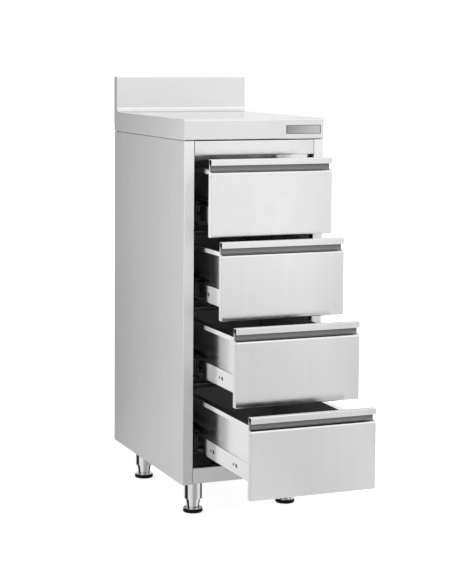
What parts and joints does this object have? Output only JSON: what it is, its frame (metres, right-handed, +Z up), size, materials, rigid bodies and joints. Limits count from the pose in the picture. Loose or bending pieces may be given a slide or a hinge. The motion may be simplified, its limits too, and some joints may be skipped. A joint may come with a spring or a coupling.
{
  "type": "stainless steel drawer cabinet",
  "caption": "Narrow steel counter cabinet on levelling feet, with a stack of sliding drawers, a folded worktop and a rear upstand.",
  "frame": {"origin": "On the floor, midway across the width, and midway between the rear face and the front of the bottom drawer as stored.", "axes": "+Z up, +X to the right of a person who faces the drawers, -Y the way the drawers open, +Y towards the wall."},
  "size_m": [0.34, 0.805, 0.991],
  "materials": {
    "satin_steel": "fine satin stainless sheet",
    "sheet_steel": "mill finish stainless sheet",
    "plated_steel": "bright zinc plated steel",
    "polished_steel": "polished steel",
    "fastener_steel": "zinc plated bolts and nuts",
    "plate_metal": "satin, blank",
    "core_board": "raw chipboard",
    "black_plastic": "moulded, fine grain"
  },
  "bodies": {
    "cabinet": {"side_panel_left": "satin_steel", "side_panel_right": "satin_steel", "back_panel": "sheet_steel", "floor_panel": "sheet_steel", "top_rail": "satin_steel", "rear_rail": "sheet_steel", "cross_rails": "sheet_steel", "worktop": "satin_steel", "worktop_core": "core_board", "blank_plate": "plate_metal", "slide_brackets_left": "plated_steel", "slide_brackets_right": "plated_steel", "slide_channels_left": "plated_steel", "slide_channels_right": "plated_steel", "slide_rivets": "polished_steel", "closing_buffers": "black_plastic", "leg_plates": "plated_steel", "leg_bolts": "fastener_steel", "leg_tubes": "polished_steel", "leg_nuts": "fastener_steel"},
    "drawer_1": {"drawer_front_1": "satin_steel", "backing_plate_1": "sheet_steel", "drawer_box_1": "sheet_steel", "drawer_rear_1": "sheet_steel", "drawer_rails_1": "plated_steel"},
    "cages_1": {"ball_cages_1": "plated_steel", "slide_balls_1": "polished_steel"},
    "drawer_2": {"drawer_front_2": "satin_steel", "backing_plate_2": "sheet_steel", "drawer_box_2": "sheet_steel", "drawer_rear_2": "sheet_steel", "drawer_rails_2": "plated_steel"},
    "cages_2": {"ball_cages_2": "plated_steel", "slide_balls_2": "polished_steel"},
    "drawer_3": {"drawer_front_3": "satin_steel", "backing_plate_3": "sheet_steel", "drawer_box_3": "sheet_steel", "drawer_rear_3": "sheet_steel", "drawer_rails_3": "plated_steel"},
    "cages_3": {"ball_cages_3": "plated_steel", "slide_balls_3": "polished_steel"},
    "drawer_4": {"drawer_front_4": "satin_steel", "backing_plate_4": "sheet_steel", "drawer_box_4": "sheet_steel", "drawer_rear_4": "sheet_steel", "drawer_rails_4": "plated_steel"},
    "cages_4": {"ball_cages_4": "plated_steel", "slide_balls_4": "polished_steel"},
    "foot_front_left": {"foot_stem_front_left": "polished_steel", "foot_pad_front_left": "black_plastic"},
    "foot_front_right": {"foot_stem_front_right": "polished_steel", "foot_pad_front_right": "black_plastic"},
    "foot_rear_left": {"foot_stem_rear_left": "polished_steel", "foot_pad_rear_left": "black_plastic"},
    "foot_rear_right": {"foot_stem_rear_right": "polished_steel", "foot_pad_rear_right": "black_plastic"}
  },
  "joints": [
    {"name": "drawer_1_slide", "type": "slide", "parent": "cabinet", "child": "drawer_1", "axis": [0, -1, 0], "range_m": [-0.0982, 0.2418]},
    {"name": "cages_1_slide", "type": "slide", "parent": "cabinet", "child": "cages_1", "axis": [0, -1, 0], "range_m": [-0.0491, 0.1209]},
    {"name": "drawer_2_slide", "type": "slide", "parent": "cabinet", "child": "drawer_2", "axis": [0, -1, 0], "range_m": [-0.162, 0.178]},
    {"name": "cages_2_slide", "type": "slide", "parent": "cabinet", "child": "cages_2", "axis": [0, -1, 0], "range_m": [-0.081, 0.089]},
    {"name": "drawer_3_slide", "type": "slide", "parent": "cabinet", "child": "drawer_3", "axis": [0, -1, 0], "range_m": [-0.243, 0.097]},
    {"name": "cages_3_slide", "type": "slide", "parent": "cabinet", "child": "cages_3", "axis": [0, -1, 0], "range_m": [-0.1215, 0.0485]},
    {"name": "drawer_4_slide", "type": "slide", "parent": "cabinet", "child": "drawer_4", "axis": [0, -1, 0], "range_m": [-0.325, 0.015]},
    {"name": "cages_4_slide", "type": "slide", "parent": "cabinet", "child": "cages_4", "axis": [0, -1, 0], "range_m": [-0.1625, 0.0075]},
    {"name": "foot_front_left_level", "type": "slide", "parent": "cabinet", "child": "foot_front_left", "axis": [0, 0, 1], "range_m": [-0.015, 0.008]},
    {"name": "foot_front_right_level", "type": "slide", "parent": "cabinet", "child": "foot_front_right", "axis": [0, 0, 1], "range_m": [-0.015, 0.008]},
    {"name": "foot_rear_left_level", "type": "slide", "parent": "cabinet", "child": "foot_rear_left", "axis": [0, 0, 1], "range_m": [-0.015, 0.008]},
    {"name": "foot_rear_right_level", "type": "slide", "parent": "cabinet", "child": "foot_rear_right", "axis": [0, 0, 1], "range_m": [-0.015, 0.008]}
  ],
  "couplings": [
    {"joint": "cages_1_slide", "follows": "drawer_1_slide", "ratio": 0.5},
    {"joint": "cages_2_slide", "follows": "drawer_2_slide", "ratio": 0.5},
    {"joint": "cages_3_slide", "follows": "drawer_3_slide", "ratio": 0.5},
    {"joint": "cages_4_slide", "follows": "drawer_4_slide", "ratio": 0.5}
  ]
}
